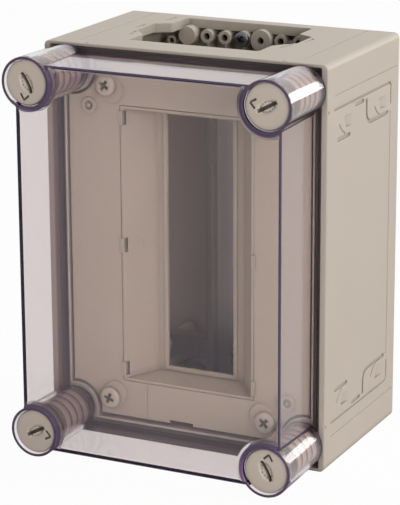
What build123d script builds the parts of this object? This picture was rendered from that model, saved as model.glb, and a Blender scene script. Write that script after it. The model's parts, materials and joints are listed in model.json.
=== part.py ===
from build123d import *
import os
from math import atan2, cos, degrees, pi

# Wall-mounted enclosure for modular circuit breakers, in millimetres.
# X runs to the right, Y from the front to the wall, Z up.
# The origin is the bottom centre of the whole object's box.

# Overall sizes
WIDTH = 187.5
HEIGHT = 250.0
BODY_DEPTH = 113.5
LID_RISE = 48.5
TOWER_RISE = 51.0
DEPTH = BODY_DEPTH + TOWER_RISE
RIM_Y = DEPTH / 2 - BODY_DEPTH
WALL_Y = DEPTH / 2
MID_Z = HEIGHT / 2

# Housing walls and front rim
SIDE_WALL = 3.2
BACK_WALL = 3.0
CORNER_R = 3.5
REAR_EDGE_R = 2.5
RIM_WALL_X = 4.0
RIM_WALL_Z = 2.0
RIM_OUTER_R = 0.8
RIM_INNER_R = 0.6
CHANNEL_DEPTH = 9.0
CHANNEL_FLOOR = 2.5
CHANNEL_R = 1.0
LIP_GAP_X = 6.85
LIP_GAP_Z = 7.6
LIP_WALL = 1.4
LIP_DROP = 4.5

# Clear lid
LID_INSET_X = 7.4
LID_INSET_Z = 4.6
LID_WALL = 2.0
LID_CORNER_R = 2.0
LID_EDGE_R = 1.0
GASKET_T = 3.0
TOWER_INSET = 15.9
TOWER_FRONT_R = 15.9
TOWER_BASE_R = 14.9
TOWER_FOOT_R = 11.2
TOWER_WALL = 1.6
TOWER_END = 2.0
TOWER_COLLAR_R = 19.3
TOWER_COLLAR_RISE = 2.1

# Turning lid fasteners
FACE_RECESS = 1.5
KNOB_GAP = 0.35
KNOB_T = 3.0
KNOB_BEVEL = 0.8
NECK_R = 10.6
NECK_L = 3.2
COLLAR_L = 5.4
RIB_COUNT = 5
RIB_START = 3.0
RIB_PITCH = 7.2
RIB_W = 2.8
RIB_SLOPE = 0.8
RIB_R = 12.4
BARREL_GAP = 0.3
BARREL_R = TOWER_FOOT_R - TOWER_WALL - BARREL_GAP
SPIGOT_R = 5.0
SPIGOT_FIT = 0.05
END_GAP = 0.3
LUG_DEPTH = 5.0
LUG_T = 3.4
LUG_R = 7.6
LUG_W = 4.0
SLOT_L = 13.4
SLOT_W = 2.2
SLOT_DEPTH = 2.6
SLOT_ANGLE = 28.0
DISH_W = 8.6
DISH_DEPTH = 1.5
DISH_MARGIN = 0.8
MARK_ANGLE = 170.0
MARK_R = 10.8
MARK_L = 4.6
MARK_W = 1.2
MARK_DEPTH = 0.9
MARK_TILT = 38.0
TURN_BY_CORNER = {"top_right": 0, "top_left": 90, "bottom_left": 180, "bottom_right": 270}

# Lid fastener sockets in the housing
COLUMN_R = 9.6
COLUMN_WEB_T = 2.4
COLUMN_GAP = 1.4
COLUMN_LIP = 3.0
SEAL_HOLE_R = 8.0
SOCKET_REST = 4.0

# Device cover and its window
COVER_DEPTH = 5.5
COVER_T = 2.5
COVER_GAP_X = 1.3
COVER_GAP_Z = 2.2
COVER_EDGE_R = 0.8
NOTCH_X = -5.0
NOTCH_W = 16.0
NOTCH_H = 2.0
SCORE_X = -28.0
SCORE_W = 0.8
SCORE_DEPTH = 0.3
WINDOW_INSET_X = 50.75
WINDOW_INSET_Z = 39.0
WINDOW_W = WIDTH - 2 * WINDOW_INSET_X
WINDOW_H = HEIGHT - 2 * WINDOW_INSET_Z
FRAME_WALL = 1.8
FRAME_GAP = 0.2
FRAME_DEPTH = 19.0
FUNNEL_X = 13.5
FUNNEL_Z = 2.0
FLOOR_W = WINDOW_W - 2 * FUNNEL_X
FLOOR_H = WINDOW_H - 2 * FUNNEL_Z
FLOOR_T = 1.8
MODULE_WINDOW = 45.0
MODULE_PITCH = 18.0
MODULE_COUNT = int(FLOOR_H // MODULE_PITCH)
BEAD_W = 2.6
BEAD_RISE = 0.8
CLIP_L = 9.0
CLIP_INSET = 6.0
CLIP_RISE = 0.8
CLIP_OVERLAP = 0.8
CLIP_SLOT_W = 1.4
CLIP_SLOT_L = 5.0
HOOK_T = 2.0
EJECTOR_R = 2.2
EJECTOR_DEPTH = 0.3

# Cover screws and their pillars
SCREW_INSET_X = 40.4
SCREW_INSET_Z = 25.0
SCREW_X = WIDTH / 2 - SCREW_INSET_X
SCREW_Z = HEIGHT / 2 - SCREW_INSET_Z
PAD_W = 15.2
PAD_L = 20.0
PAD_RISE = 1.2
STUD_INSET_X = 28.25
STUD_INSET_Z = 38.7
STUD_X = WIDTH / 2 - STUD_INSET_X
STUD_Z = HEIGHT / 2 - STUD_INSET_Z
STUD_R = 5.0
STUD_HOLE_R = 2.8
STUD_PIN_R = 1.2
STUD_RISE = 1.6
HEAD_R = 6.8
HEAD_H = 3.4
CROSS_REACH = 0.54
CROSS_ARM = 0.3
CROSS_DEPTH = 0.7
SHANK_R = 2.4
SHANK_FIT = 0.1
SHANK_L = 16.0
PILLAR_TIP_R = 4.8
PILLAR_ROOT_R = 6.2
PILLAR_FOOT_R = 7.4
PILLAR_FOOT_T = 3.0

# Mounting rail and its supports
RAIL_PLANE = 67.5
RAIL_W = 35.0
RAIL_D = 7.5
RAIL_T = 1.0
RAIL_CHANNEL_W = 27.0
RAIL_INSET = 25.0
RAIL_L = HEIGHT - 2 * RAIL_INSET
RAIL_SLOT_L = 15.0
RAIL_SLOT_W = 6.2
SUPPORT_T = 1.5
SUPPORT_H = 14.0
SUPPORT_D = 13.0
SUPPORT_INSET_X = 31.75
SUPPORT_INSET_Z = 39.5
SUPPORT_HOLE_INSET = 12.0
SUPPORT_L = WIDTH - 2 * SUPPORT_INSET_X
SUPPORT_Z = HEIGHT / 2 - SUPPORT_INSET_Z
SUPPORT_HOLE_X = SUPPORT_L / 2 - SUPPORT_HOLE_INSET
SMALL_HEAD_R = 4.6
SMALL_HEAD_H = 2.6
RAIL_SHANK_L = 9.0
BOSS_R = 5.0

# Screw bosses along the back wall, on a 12.5 mm grid
GRID = 12.5
ROW_INSET = 9.8
ROW_Z = HEIGHT / 2 - ROW_INSET
ROW_RISE = 13.5
ROW_STEP = 3.0
RING_R = 4.4
RING_BORE_R = 2.1
RING_BORE_L = 9.0
PLAIN_R = 6.0
WIDE_R = 7.0
RIB_T = 1.4
ROW_RIB_DROP = 11.0
ROW_RIB_SET = 2.0
END_RING_DROP = 4.5
END_RING_R = 3.2
END_BORE_R = 1.6
BOSS_HEAD_R = 5.0
BOSS_SHANK_L = 8.0
SMALL_SCREW_TURN = 25.0

# Wall fixing, on the same grid
FIX_X = WIDTH / 2 - 1.5 * GRID
FIX_Z = HEIGHT / 2 - 3 * GRID
FIX_HOLE_R = 3.1
FIX_BOSS_R = 6.6
FIX_BOSS_RISE = 3.0

# Open flange in the top wall
OPENING_SHIFT = -4.0
OPENING_FRONT = 22.0
OPENING_REAR = BODY_DEPTH - 11.5
OPENING_INSET = 50.25
OPENING_NECK = WIDTH / 2 - OPENING_INSET
OPENING_BULGE = 10.8
OPENING_CORNER_R = 2.5
OPENING_LIP = 2.2
OPENING_LIP_DROP = 6.0
BULGE_START = 41.0
BULGE_FRONT = 54.0
BULGE_REAR = 76.0
BULGE_END = 82.0
SLIT_L = 12.0
SLIT_W = 1.8
SLIT_DEPTH = 0.8
SLIT_MARGIN = 3.4
NECK_SLIT_MARGIN = 8.2
FRONT_SLIT = (43.5, -10.0)
REAR_SLIT = (95.5, 8.0)

# Closed flange fields on the other sides, measured from the end of each side and the front or wall
GROOVE_END = 28.5
GROOVE_FRONT = 10.0
GROOVE_REAR = BODY_DEPTH - 14.5
GROOVE_TURN = 42.0
GROOVE_W = 1.4
GROOVE_DEPTH = 1.0
POCKET_END = 38.5
POCKET_L = 11.5
POCKET_W = 7.2
POCKET_SLANT = 2.6
POCKET_R = 1.2
POCKET_DEPTH = 2.0
POCKET_FRONTS = (25.0, GROOVE_REAR - 19.5)
ARC_REACH = 7.0
ARC_W = 1.2
ARC_DEPTH = 0.5
HOOP_SIDE = 60.0
HOOP_START = 31.5
HOOP_END = 46.5
HOOP_REAR = GROOVE_REAR - 4.0
HOOP_W = 2.4
HOOP_DEPTH = 1.2
HOOP_R = 7.0
SHORT_SLOT_W = 2.4
FRONT_SLOT_END = 47.5
FRONT_SLOT = (15.0, 35.0)
MIDDLE_SLOT = (42.0, 56.0)
OUTLINE_END = 20.0
OUTLINE_DEPTH = 0.4
STEP_FRONT = GROOVE_REAR - 8.5
DOT_R = 0.9
DOT_DEPTH = 0.6
DOT_DEPTH_Y = 2.0

TOWER_X = WIDTH / 2 - TOWER_INSET
TOWER_Z = HEIGHT / 2 - TOWER_INSET
CORNERS = {
    "top_left": (-1, 1),
    "top_right": (1, 1),
    "bottom_left": (-1, -1),
    "bottom_right": (1, -1),
}
SEAL_FRONT = CHANNEL_DEPTH - GASKET_T
FLOOR_Y = BODY_DEPTH - BACK_WALL
ROW_FRONT = FLOOR_Y - ROW_RISE
COVER_BACK = COVER_DEPTH + COVER_T
COLUMN_POCKET_R = TOWER_FOOT_R + COLUMN_GAP
COVER_CUT_R = COLUMN_POCKET_R + COLUMN_LIP + COVER_GAP_X
INSIDE_W = WIDTH - 2 * (RIM_WALL_X + LIP_GAP_X + LIP_WALL)
INSIDE_H = HEIGHT - 2 * (RIM_WALL_Z + LIP_GAP_Z + LIP_WALL)


# Shared shapes
def block(x0, x1, y0, y1, z0, z1):
    """A box between two corners, with depths measured behind the front rim."""
    middle = ((x0 + x1) / 2, RIM_Y + (y0 + y1) / 2, (z0 + z1) / 2)
    return Pos(*middle) * Box(abs(x1 - x0), y1 - y0, abs(z1 - z0))


def prism(sketch, y0, y1):
    """A front-view sketch, centred on the housing, run from depth y0 to y1."""
    plane = Plane(origin=(0, RIM_Y + y1, MID_Z), x_dir=(1, 0, 0), z_dir=(0, -1, 0))
    return extrude(plane * sketch, amount=y1 - y0)


def rod(x, z, y0, y1, r0, r1=None):
    """A round bar or cone along Y, with z measured from mid height."""
    length = y1 - y0
    place = Pos(x, RIM_Y + (y0 + y1) / 2, MID_Z + z) * Rot(-90, 0, 0)
    if r1 is None:
        return place * Cylinder(r0, length)
    return place * Cone(r0, r1, length)


def corner_points():
    return [(sx * TOWER_X, sz * TOWER_Z) for sx, sz in CORNERS.values()]


def corner_discs(radius):
    return [Pos(x, z) * Circle(radius) for x, z in corner_points()]


def tower_r(depth, wall=0.0):
    """Outer radius of a lid tower at a depth, less a wall."""
    share = (depth + TOWER_RISE) / TOWER_RISE
    return TOWER_FRONT_R + (TOWER_BASE_R - TOWER_FRONT_R) * share - wall


# Housing
def channel_sketches():
    """The rim opening, the region inside the lip and the lip's own hole."""
    opening = RectangleRounded(WIDTH - 2 * RIM_WALL_X, HEIGHT - 2 * RIM_WALL_Z, CHANNEL_R)
    inside = Rectangle(INSIDE_W + 2 * LIP_WALL, INSIDE_H + 2 * LIP_WALL)
    hole = Rectangle(INSIDE_W, INSIDE_H)
    for disc in corner_discs(COLUMN_POCKET_R):
        inside -= disc
    for disc in corner_discs(COLUMN_POCKET_R + COLUMN_LIP):
        hole -= disc
    return opening, inside, hole


def side_planes():
    """Outer faces with local x along the side, local y the depth, z outward."""
    return {
        "right": (Plane((WIDTH / 2, RIM_Y, MID_Z), (0, 0, -1), (1, 0, 0)), HEIGHT / 2),
        "left": (Plane((-WIDTH / 2, RIM_Y, MID_Z), (0, 0, 1), (-1, 0, 0)), HEIGHT / 2),
        "top": (Plane((0, RIM_Y, HEIGHT), (1, 0, 0), (0, 0, 1)), WIDTH / 2),
        "bottom": (Plane((0, RIM_Y, 0), (-1, 0, 0), (0, 0, -1)), WIDTH / 2),
    }


def sink(plane, sketch, depth):
    return extrude(plane * sketch, amount=depth, dir=-plane.z_dir)


def path_groove(plane, line, width, depth):
    return sink(plane, trace(line, width), depth)


def level_slot(plane, u, reach, width, depth):
    """A round-ended slot that runs in depth from reach[0] to reach[1]."""
    length = reach[1] - reach[0]
    middle = (reach[0] + reach[1]) / 2
    return sink(plane, Pos(u, middle) * Rot(0, 0, 90) * SlotOverall(length, width), depth)


def wedge_pocket(plane, u_in, u_out, front):
    """A pocket whose floor rises from its front end up to the outer face."""
    rear = front + POCKET_L
    points = [(u_in, front + POCKET_SLANT), (u_in, rear), (u_out, rear), (u_out, front)]
    outline = make_face(Polyline(*points, close=True))
    outline = fillet(outline.vertices(), POCKET_R)
    tilt = degrees(atan2(POCKET_DEPTH, POCKET_L))
    size = 4 * abs(u_in) + 4 * POCKET_L
    above = Pos(0, rear, 0) * Rot(tilt, 0, 0) * Pos(0, 0, size / 2) * Box(size, size, size)
    return sink(plane, outline, POCKET_DEPTH) & (plane * above)


def groove_line(across):
    """The long groove with its rounded turn at the rear."""
    points = [(across(GROOVE_END), GROOVE_FRONT), (across(GROOVE_END), GROOVE_REAR),
              (across(GROOVE_TURN), GROOVE_REAR)]
    return FilletPolyline(*points, radius=2 * GROOVE_W)


def hoop_line(across):
    """The J-shaped groove that runs round the rear wedge pocket."""
    points = [(across(HOOP_START), HOOP_SIDE), (across(HOOP_END), HOOP_SIDE),
              (across(HOOP_END), HOOP_REAR)]
    return FilletPolyline(*points, radius=HOOP_R)


def pocket_arc(across, front):
    """A short curved groove in front of a wedge pocket."""
    inner = POCKET_END + POCKET_W / 2
    points = [(across(POCKET_END), front - ARC_REACH),
              (across(inner + ARC_REACH / 4), front - ARC_REACH / 4),
              (across(inner + ARC_REACH / 2), front + ARC_REACH / 4)]
    return ThreePointArc(*points)


def closed_field_cuts(plane, half):
    """Grooves, wedge pockets, hoops and slots at both ends of a closed field."""
    cuts = []
    for end in (-1, 1):
        def across(inset):
            return end * (half - inset)
        cuts.append(path_groove(plane, groove_line(across), GROOVE_W, GROOVE_DEPTH))
        cuts.append(path_groove(plane, hoop_line(across), HOOP_W, HOOP_DEPTH))
        for front in POCKET_FRONTS:
            u_in = across(POCKET_END + POCKET_W / 2)
            u_out = across(POCKET_END - POCKET_W / 2)
            cuts.append(wedge_pocket(plane, u_in, u_out, front))
            cuts.append(path_groove(plane, pocket_arc(across, front), ARC_W, ARC_DEPTH))
        cuts.append(level_slot(plane, across(FRONT_SLOT_END), FRONT_SLOT, SHORT_SLOT_W, HOOP_DEPTH))
        cuts.append(level_slot(plane, across(HOOP_START), MIDDLE_SLOT, SHORT_SLOT_W, HOOP_DEPTH))
    step_w = GROOVE_REAR - STEP_FRONT
    strip = Pos(0, STEP_FRONT + step_w / 2) * Rectangle(2 * (half - HOOP_END), step_w)
    cuts.append(sink(plane, strip, OUTLINE_DEPTH))
    return cuts


def end_marks(plane, half):
    """Fine outline lines and two moulding dots near the ends of a side."""
    cuts = []
    reach = (GROOVE_FRONT, GROOVE_REAR + GROOVE_FRONT)
    for end in (-1, 1):
        u = end * (half - OUTLINE_END)
        cuts.append(level_slot(plane, u, reach, GROOVE_W / 2, OUTLINE_DEPTH))
        dot = Pos(end * (half - GROOVE_END), DOT_DEPTH_Y) * Circle(DOT_R)
        cuts.append(sink(plane, dot, DOT_DEPTH))
    return cuts


def opening_sketch():
    """Outline of the open flange: two necks and a wide middle."""
    wide = OPENING_NECK + OPENING_BULGE
    right = [(OPENING_NECK, OPENING_FRONT), (OPENING_NECK, BULGE_START), (wide, BULGE_FRONT),
             (wide, BULGE_REAR), (OPENING_NECK, BULGE_END), (OPENING_NECK, OPENING_REAR)]
    left = [(-u, v) for u, v in reversed(right)]
    outline = make_face(Polyline(*right, *left, close=True))
    return Pos(OPENING_SHIFT, 0) * fillet(outline.vertices(), OPENING_CORNER_R)


def opening_slits(plane):
    """Six lens-shaped slits that follow the sides of the open flange."""
    cuts = []
    wide = OPENING_NECK + OPENING_BULGE + SLIT_MARGIN
    neck = OPENING_NECK + NECK_SLIT_MARGIN
    middle = (BULGE_FRONT + BULGE_REAR) / 2
    for side in (-1, 1):
        for u, v, lean in ((neck, *FRONT_SLIT), (wide, middle, 0), (neck, *REAR_SLIT)):
            slit = SlotOverall(SLIT_L, SLIT_W)
            slit = Pos(OPENING_SHIFT + side * u, v) * Rot(0, 0, 90 + side * lean) * slit
            cuts.append(sink(plane, slit, SLIT_DEPTH))
    return cuts


# Boss row
def row_bosses():
    """Places along the row: x, front depth and outer radius of each boss."""
    rings = [((step + 0.5) * GRID, ROW_FRONT, RING_R) for step in (-3, -2)]
    rings += [((step + 0.5) * GRID, ROW_FRONT + ROW_STEP, RING_R) for step in (1, 2)]
    plain = (-3.5 * GRID, ROW_FRONT - ROW_STEP, PLAIN_R)
    screw_boss = (-0.5 * GRID, ROW_FRONT, BOSS_R)
    wide = (0.5 * GRID, ROW_FRONT, WIDE_R)
    return rings, plain, screw_boss, wide


def boss_row(side):
    """A row of short screw bosses joined by ribs, near the top or bottom wall."""
    z = side * ROW_Z
    rings, plain, screw_boss, wide = row_bosses()
    parts = []
    for x, front, radius in rings + [plain, screw_boss, wide]:
        parts.append(rod(x, z, front, FLOOR_Y, radius))
    end_x = plain[0] - GRID
    parts.append(rod(end_x, z - side * END_RING_DROP, ROW_FRONT, FLOOR_Y, END_RING_R))
    z_mid = MID_Z + z
    half = RIB_T / 2
    rib_y = ROW_FRONT + ROW_STEP + ROW_RIB_SET
    parts.append(block(plain[0], rings[-1][0], rib_y, FLOOR_Y, z_mid - half, z_mid + half))
    for x, front, radius in rings + [screw_boss, wide]:
        low = z_mid - side * ROW_RIB_DROP
        parts.append(block(x - half, x + half, front + ROW_RIB_SET, FLOOR_Y, z_mid, low))
    return parts


def boss_row_bores(side):
    z = side * ROW_Z
    rings, plain, screw_boss, wide = row_bosses()
    bores = []
    for x, front, radius in rings + [screw_boss, wide]:
        bores.append(rod(x, z, front - 1, front + RING_BORE_L, RING_BORE_R))
    end_x = plain[0] - GRID
    end_z = z - side * END_RING_DROP
    bores.append(rod(end_x, end_z, ROW_FRONT - 1, ROW_FRONT + RING_BORE_L, END_BORE_R))
    return bores


def column_webs(sx, sz):
    """Two webs that tie a corner column to the side walls."""
    x = sx * TOWER_X
    z = MID_Z + sz * TOWER_Z
    side_x = sx * (WIDTH / 2 - SIDE_WALL / 2)
    side_z = MID_Z + sz * (HEIGHT / 2 - SIDE_WALL / 2)
    half = COLUMN_WEB_T / 2
    level = block(x, side_x, CHANNEL_DEPTH, FLOOR_Y, z - half, z + half)
    upright = block(x - half, x + half, CHANNEL_DEPTH, FLOOR_Y, z, side_z)
    return [level, upright]


def socket_cut(x, z):
    """Bore, lug gate and lug chamber that lock a lid fastener."""
    gate_end = CHANNEL_DEPTH + LUG_DEPTH
    chamber_end = gate_end + LUG_T + 2 * END_GAP
    bore = rod(x, z, CHANNEL_DEPTH - 1, chamber_end + SOCKET_REST, SPIGOT_R + SPIGOT_FIT)
    chamber = rod(x, z, gate_end, chamber_end, LUG_R + END_GAP)
    return bore + chamber


def socket_gate(x, z, turn):
    """Slot that lets the lugs in once the fastener has turned a quarter."""
    gate_end = CHANNEL_DEPTH + LUG_DEPTH
    long_side = 2 * (LUG_R + END_GAP)
    short_side = LUG_W + 2 * END_GAP
    gate = Rot(0, 0, turn) * Rectangle(short_side, long_side)
    return prism(Pos(x, z) * gate, CHANNEL_DEPTH - 1, gate_end + 0.1)


def housing_shell():
    """Outer box with the rim, the gasket channel and the cavity."""
    opening, inside, hole = channel_sketches()
    shell = prism(RectangleRounded(WIDTH, HEIGHT, CORNER_R), 0, BODY_DEPTH)
    shell = fillet(shell.faces().sort_by(Axis.Y)[-1].edges(), REAR_EDGE_R)
    shell = fillet(shell.faces().sort_by(Axis.Y)[0].edges(), RIM_OUTER_R)
    shell -= prism(opening, -1, LIP_DROP)
    rim = shell.faces().filter_by(Axis.Y).sort_by(Axis.Y)[0]
    shell = fillet(rim.inner_wires().edges(), RIM_INNER_R)
    shell -= prism(opening - inside, LIP_DROP - 1, CHANNEL_DEPTH)
    shell -= prism(hole, -1, CHANNEL_DEPTH + CHANNEL_FLOOR + 1)
    cavity = Rectangle(WIDTH - 2 * SIDE_WALL, HEIGHT - 2 * SIDE_WALL)
    shell -= prism(cavity, CHANNEL_DEPTH + CHANNEL_FLOOR, FLOOR_Y)
    return shell


def make_base_housing():
    added = []
    cuts = []
    for name, (sx, sz) in CORNERS.items():
        x = sx * TOWER_X
        z = sz * TOWER_Z
        added.append(rod(x, z, CHANNEL_DEPTH, FLOOR_Y, COLUMN_R))
        added += column_webs(sx, sz)
        cuts.append(socket_cut(x, z))
        cuts.append(socket_gate(x, z, SLOT_ANGLE + TURN_BY_CORNER[name]))
    support_back = RAIL_PLANE + RAIL_D + SUPPORT_T
    for sx, sz in CORNERS.values():
        x = sx * SUPPORT_HOLE_X
        z = sz * SUPPORT_Z
        added.append(rod(x, z, support_back, FLOOR_Y, BOSS_R))
        cuts.append(rod(x, z, support_back - 1, FLOOR_Y, SHANK_R + SHANK_FIT))
        added.append(rod(sx * FIX_X, sz * FIX_Z, FLOOR_Y - FIX_BOSS_RISE, FLOOR_Y, FIX_BOSS_R))
        cuts.append(rod(sx * FIX_X, sz * FIX_Z, FLOOR_Y - 10, BODY_DEPTH + 1, FIX_HOLE_R))
    planes = side_planes()
    top, top_half = planes["top"]
    added.append(sink(top, offset(opening_sketch(), OPENING_LIP), OPENING_LIP_DROP))
    cuts.append(sink(top, opening_sketch(), OPENING_LIP_DROP + 1))
    cuts += opening_slits(top)
    for side, (plane, half) in planes.items():
        cuts += end_marks(plane, half)
        if side != "top":
            cuts += closed_field_cuts(plane, half)
    housing = housing_shell().fuse(*added).cut(*cuts)
    rows = boss_row(1) + boss_row(-1)
    bores = boss_row_bores(1) + boss_row_bores(-1)
    return housing.fuse(*rows).cut(*bores)


# Clear lid
def make_clear_lid():
    lid_w = WIDTH - 2 * LID_INSET_X
    lid_h = HEIGHT - 2 * LID_INSET_Z
    outer = RectangleRounded(lid_w, lid_h, LID_CORNER_R)
    inner = Rectangle(lid_w - 2 * LID_WALL, lid_h - 2 * LID_WALL)
    tray = prism(outer, -LID_RISE, SEAL_FRONT)
    tray = fillet(tray.faces().sort_by(Axis.Y)[0].edges(), LID_EDGE_R)
    tray -= prism(inner, LID_WALL - LID_RISE, SEAL_FRONT + 1)
    bounds = prism(Rectangle(lid_w - 2 * LID_EDGE_R, lid_h - 2 * LID_EDGE_R), -TOWER_RISE, 0)
    for x, z in corner_points():
        tray += rod(x, z, -TOWER_RISE, 0, TOWER_FRONT_R, TOWER_BASE_R)
        tray += rod(x, z, -1, SEAL_FRONT, TOWER_FOOT_R)
        collar_front = -LID_RISE - TOWER_COLLAR_RISE
        collar_r = tower_r(collar_front)
        collar_back = LID_WALL - LID_RISE
        slope = (TOWER_COLLAR_R - collar_r) / TOWER_COLLAR_RISE
        back_r = TOWER_COLLAR_R + slope * LID_WALL
        tray += rod(x, z, collar_front, collar_back, collar_r, back_r) & bounds
    for x, z in corner_points():
        front_r = tower_r(-TOWER_RISE, TOWER_WALL)
        base_end = -TOWER_END
        tray -= rod(x, z, -TOWER_RISE, base_end, front_r, tower_r(base_end, TOWER_WALL))
        tray -= rod(x, z, base_end - 1, SEAL_FRONT - TOWER_END, TOWER_FOOT_R - TOWER_WALL)
        tray -= rod(x, z, SEAL_FRONT - TOWER_END - 1, SEAL_FRONT + 1, SEAL_HOLE_R)
    return tray


def make_lid_gasket():
    opening, inside, hole = channel_sketches()
    strip = prism(opening - inside, SEAL_FRONT, CHANNEL_DEPTH)
    for x, z in corner_points():
        strip -= rod(x, z, SEAL_FRONT - 1, CHANNEL_DEPTH + 1, LUG_R + 2 * END_GAP)
    return strip


# Lid fasteners
def fastener_profile():
    """Half section: radius against depth behind the front rim."""
    face = FACE_RECESS - TOWER_RISE
    knob_back = face + KNOB_T
    neck_back = knob_back + NECK_L
    collar_back = neck_back + COLLAR_L
    tip = CHANNEL_DEPTH + LUG_DEPTH + END_GAP + LUG_T
    knob_r = tower_r(knob_back, TOWER_WALL) - KNOB_GAP
    points = [(0, face), (knob_r - KNOB_BEVEL, face)]
    points += [(knob_r, face + KNOB_BEVEL), (knob_r, knob_back)]
    points += [(NECK_R, knob_back), (NECK_R, neck_back)]
    collar_r = knob_r - KNOB_GAP
    points += [(collar_r, neck_back), (collar_r, collar_back)]
    start = collar_back + RIB_START
    for i in range(RIB_COUNT):
        low = start + i * RIB_PITCH
        high = low + RIB_W
        points += [(BARREL_R, low), (RIB_R, low + RIB_SLOPE)]
        points += [(RIB_R, high - RIB_SLOPE), (BARREL_R, high)]
    seat = SEAL_FRONT - TOWER_END - END_GAP
    points += [(BARREL_R, seat), (SPIGOT_R, seat), (SPIGOT_R, tip), (0, tip)]
    return points


def lens_dish():
    """A spindle-shaped cutter that leaves a lens-shaped hollow along the slot."""
    half_w = DISH_W / 2
    offset_y = (half_w ** 2 - DISH_DEPTH ** 2) / (2 * DISH_DEPTH)
    crest = offset_y + DISH_DEPTH
    half_l = SLOT_L / 2 + DISH_MARGIN
    arc = ThreePointArc((-half_l, offset_y), (0, crest), (half_l, offset_y))
    sides = Polyline((half_l, offset_y), (half_l, 0), (-half_l, 0), (-half_l, offset_y))
    spindle = revolve(make_face(arc + sides), Axis.X)
    return Pos(0, -offset_y, 0) * spindle


def make_fastener(corner):
    sx, sz = CORNERS[corner]
    turn = TURN_BY_CORNER[corner]
    face = FACE_RECESS - TOWER_RISE
    outline = make_face(Polyline(*fastener_profile(), close=True))
    body = revolve(Plane.XY * outline, Axis.Y)
    lug_start = CHANNEL_DEPTH + LUG_DEPTH + END_GAP
    lug_bar = Rot(0, -SLOT_ANGLE, 0) * Box(2 * LUG_R, LUG_T, LUG_W)
    body += Pos(0, lug_start + LUG_T / 2, 0) * lug_bar
    slot = Pos(0, face + SLOT_DEPTH / 2, 0) * Box(SLOT_L, SLOT_DEPTH, SLOT_W)
    dish = Pos(0, face, 0) * lens_dish()
    body -= Rot(0, -SLOT_ANGLE, 0) * slot
    body -= Rot(0, -SLOT_ANGLE, 0) * dish
    for tilt in (-1, 1):
        arm = Pos(MARK_L / 2, 0, 0) * Box(MARK_L, 2 * MARK_DEPTH, MARK_W)
        arm = Pos(-MARK_R, face, 0) * Rot(0, tilt * MARK_TILT, 0) * arm
        body -= Rot(0, 180 - MARK_ANGLE, 0) * arm
    place = Pos(sx * TOWER_X, RIM_Y, MID_Z + sz * TOWER_Z)
    return place * Rot(0, -turn, 0) * body


# Device cover
def clip_heights():
    pitch = WINDOW_H / 2 - CLIP_INSET
    return [-pitch, 0.0, pitch]


def cover_sheet():
    """The panel: front edges rounded, one opening and one notch below."""
    sheet_w = INSIDE_W - 2 * COVER_GAP_X
    sheet_h = INSIDE_H - 2 * COVER_GAP_Z
    sheet = Rectangle(sheet_w, sheet_h)
    for disc in corner_discs(COVER_CUT_R):
        sheet -= disc
    sheet -= Pos(NOTCH_X, -sheet_h / 2) * Rectangle(NOTCH_W, 2 * NOTCH_H)
    cover = prism(sheet, COVER_DEPTH, COVER_BACK)
    cover = fillet(cover.faces().sort_by(Axis.Y)[0].edges(), COVER_EDGE_R)
    hole = Rectangle(WINDOW_W + 2 * (FRAME_WALL + FRAME_GAP), WINDOW_H + 2 * (FRAME_WALL + FRAME_GAP))
    cover -= prism(hole, COVER_DEPTH - 1, COVER_BACK + 1)
    score_top = MID_Z - WINDOW_H / 2 - FRAME_WALL - FRAME_GAP
    score_low = MID_Z - sheet_h / 2
    cover -= block(SCORE_X - SCORE_W / 2, SCORE_X + SCORE_W / 2, COVER_DEPTH - 1,
                   COVER_DEPTH + SCORE_DEPTH, score_low, score_top)
    return cover, hole


def make_device_cover():
    cover, hole = cover_sheet()
    pads = []
    holes = []
    pins = []
    for sx, sz in CORNERS.values():
        x = sx * SCREW_X
        z = sz * SCREW_Z
        angle = 45 if sx * sz > 0 else -45
        slide = (PAD_L - PAD_W) / 2 * cos(pi / 4)
        pad = Pos(x - sx * slide, z - sz * slide) * Rot(0, 0, angle) * SlotOverall(PAD_L, PAD_W)
        pads.append(prism(pad - hole, COVER_DEPTH - PAD_RISE, COVER_DEPTH))
        holes.append(rod(x, z, 0, COVER_BACK + 1, SHANK_R + 2 * SHANK_FIT))
    for side in (-1, 1):
        x = side * STUD_X
        z = -side * STUD_Z
        front = COVER_DEPTH - STUD_RISE
        pads.append(rod(x, z, front, COVER_DEPTH, STUD_R))
        holes.append(rod(x, z, front - 1, COVER_DEPTH, STUD_HOLE_R))
        pins.append(rod(x, z, front, COVER_DEPTH, STUD_PIN_R))
    return cover.fuse(*pads).cut(*holes).fuse(*pins)


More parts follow.
